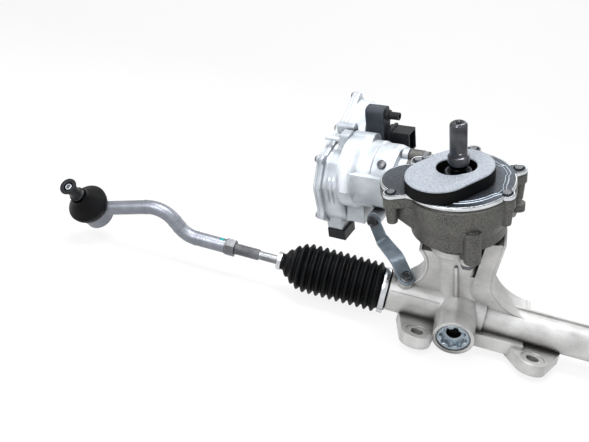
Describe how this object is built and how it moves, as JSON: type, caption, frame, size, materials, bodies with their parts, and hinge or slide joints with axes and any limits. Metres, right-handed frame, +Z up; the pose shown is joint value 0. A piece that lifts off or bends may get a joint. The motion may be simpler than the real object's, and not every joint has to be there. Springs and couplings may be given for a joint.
{
  "type": "electric power steering rack",
  "caption": "Rack-and-pinion steering gear with a worm-driven electric assist motor, bellows, bent tie-rod ends and ball studs.",
  "frame": {"origin": "centre of the left mounting hole, on the face of its lug that seats on the subframe", "axes": "+X along the rack towards the long end of the housing, +Y towards the back, +Z up along the mounting holes"},
  "size_m": [1.2244, 0.236, 0.2412],
  "materials": {
    "bearing_steel": "ground bearing steel",
    "black_plastic": "glass-filled plastic",
    "black_rubber": "moulded rubber",
    "board_green": "circuit board",
    "bright_steel": "ground and polished steel",
    "cast_aluminium": "sand-blasted casting, machined faces",
    "dark_casting": "darker die casting",
    "dark_steel": "dark forged steel",
    "grey_foam": "speckled grey foam",
    "grey_plastic": "glass-filled plastic",
    "ivory_plastic": "moulded bearing plastic",
    "liner_plastic": "filled bearing plastic",
    "magnet_core": "laminated core with magnets",
    "seal_rubber": "moulded rubber",
    "silver_coat": "satin silver coat on forged steel",
    "spring_steel": "oil-tempered spring steel",
    "winding": "laminated core with copper winding",
    "zinc_steel": "zinc-plated steel"
  },
  "bodies": {
    "housing": {"rack_housing": "cast_aluminium", "rack_bushes": "liner_plastic", "lower_bearing": "bearing_steel", "upper_bearing": "bearing_steel", "yoke": "cast_aluminium", "yoke_spring": "spring_steel", "yoke_plug": "zinc_steel", "gear_housing": "cast_aluminium", "housing_screws": "zinc_steel", "worm_bearings": "bearing_steel", "torque_sensor": "black_plastic", "housing_cover": "dark_casting", "input_seal": "seal_rubber", "dash_seal": "seal_rubber", "dash_seal_face": "grey_foam", "motor_housing": "cast_aluminium", "motor_stator": "winding", "motor_screws": "zinc_steel", "ecu_housing": "cast_aluminium", "ecu_board": "board_green", "ecu_cover": "cast_aluminium", "ecu_screws": "zinc_steel", "connector_header": "grey_plastic", "power_connector": "black_plastic", "signal_connector": "black_plastic", "sensor_connector": "black_plastic", "support_bracket": "zinc_steel", "bracket_bolts": "zinc_steel", "left_boot": "black_rubber", "right_boot": "black_rubber", "boot_clamps": "bright_steel"},
    "rack": {"rack_bar": "bright_steel", "left_inner_socket": "dark_steel", "right_inner_socket": "dark_steel"},
    "left_inner_seat": {"left_inner_seat": "ivory_plastic"},
    "left_tie": {"left_tie_rod": "bright_steel", "left_jam_nut": "dark_steel", "left_rod_end": "silver_coat", "left_boot_ring": "bright_steel", "left_dust_boot": "black_rubber"},
    "left_outer_seat": {"left_outer_seat": "ivory_plastic"},
    "left_stud": {"left_stud": "bright_steel", "left_stud_cap": "black_plastic"},
    "right_inner_seat": {"right_inner_seat": "ivory_plastic"},
    "right_tie": {"right_tie_rod": "bright_steel", "right_jam_nut": "dark_steel", "right_rod_end": "silver_coat", "right_boot_ring": "bright_steel", "right_dust_boot": "black_rubber"},
    "right_outer_seat": {"right_outer_seat": "ivory_plastic"},
    "right_stud": {"right_stud": "bright_steel", "right_stud_cap": "black_plastic"},
    "pinion": {"pinion_shaft": "bright_steel", "worm_wheel_hub": "bearing_steel", "worm_wheel_rim": "ivory_plastic"},
    "input": {"input_shaft": "dark_steel", "torsion_bar": "spring_steel"},
    "worm": {"worm_shaft": "bright_steel", "motor_rotor": "magnet_core"}
  },
  "joints": [
    {"name": "rack_slide", "type": "slide", "parent": "housing", "child": "rack", "axis": [1, 0, 0], "range_m": [-0.065, 0.065], "deforming": ["left_boot", "right_boot"]},
    {"name": "pinion_turn", "type": "hinge", "parent": "housing", "child": "pinion", "pos_m": [0.037, 0.06149, 0.03324], "axis": [-0.2419, -0.2837, 0.9279], "range_deg": [-455, 455]},
    {"name": "worm_spin", "type": "hinge", "parent": "housing", "child": "worm", "pos_m": [0.02295, 0.07556, 0.15242], "axis": [0.9372, -0.3158, 0.1478], "range_deg": [-9300, 9300]},
    {"name": "input_twist", "type": "hinge", "parent": "pinion", "child": "input", "pos_m": [0.037, 0.06149, 0.03324], "axis": [-0.2419, -0.2837, 0.9279], "range_deg": [-4.5, 4.5], "stiffness_Nm_per_rad": 115},
    {"name": "left_inner_sway", "type": "hinge", "parent": "rack", "child": "left_inner_seat", "pos_m": [-0.133, 0.046, 0.0285], "axis": [0, 0, 1], "range_deg": [-18, 18]},
    {"name": "left_inner_tilt", "type": "hinge", "parent": "left_inner_seat", "child": "left_tie", "pos_m": [-0.133, 0.046, 0.0285], "axis": [0, 1, 0], "range_deg": [-18, 18]},
    {"name": "left_outer_swing", "type": "hinge", "parent": "left_tie", "child": "left_outer_seat", "pos_m": [-0.396, 0.046, 0.03126], "axis": [0, 0.6657, 0.7462], "range_deg": [-20, 20], "deforming": ["left_dust_boot"]},
    {"name": "left_outer_turn", "type": "hinge", "parent": "left_outer_seat", "child": "left_stud", "pos_m": [-0.396, 0.046, 0.03126], "axis": [-0.2198, -0.728, 0.6494], "range_deg": [-35, 35]},
    {"name": "right_inner_sway", "type": "hinge", "parent": "rack", "child": "right_inner_seat", "pos_m": [0.517, 0.046, 0.0285], "axis": [0, 0, 1], "range_deg": [-18, 18]},
    {"name": "right_inner_tilt", "type": "hinge", "parent": "right_inner_seat", "child": "right_tie", "pos_m": [0.517, 0.046, 0.0285], "axis": [0, 1, 0], "range_deg": [-18, 18]},
    {"name": "right_outer_swing", "type": "hinge", "parent": "right_tie", "child": "right_outer_seat", "pos_m": [0.78, 0.046, 0.03126], "axis": [0, 0.6657, 0.7462], "range_deg": [-20, 20], "deforming": ["right_dust_boot"]},
    {"name": "right_outer_turn", "type": "hinge", "parent": "right_outer_seat", "child": "right_stud", "pos_m": [0.78, 0.046, 0.03126], "axis": [0.2198, -0.728, 0.6494], "range_deg": [-35, 35]}
  ],
  "couplings": [
    {"joint": "pinion_turn", "follows": "rack_slide", "rad_per_m": 121.29},
    {"joint": "worm_spin", "follows": "rack_slide", "rad_per_m": 2486.4}
  ]
}
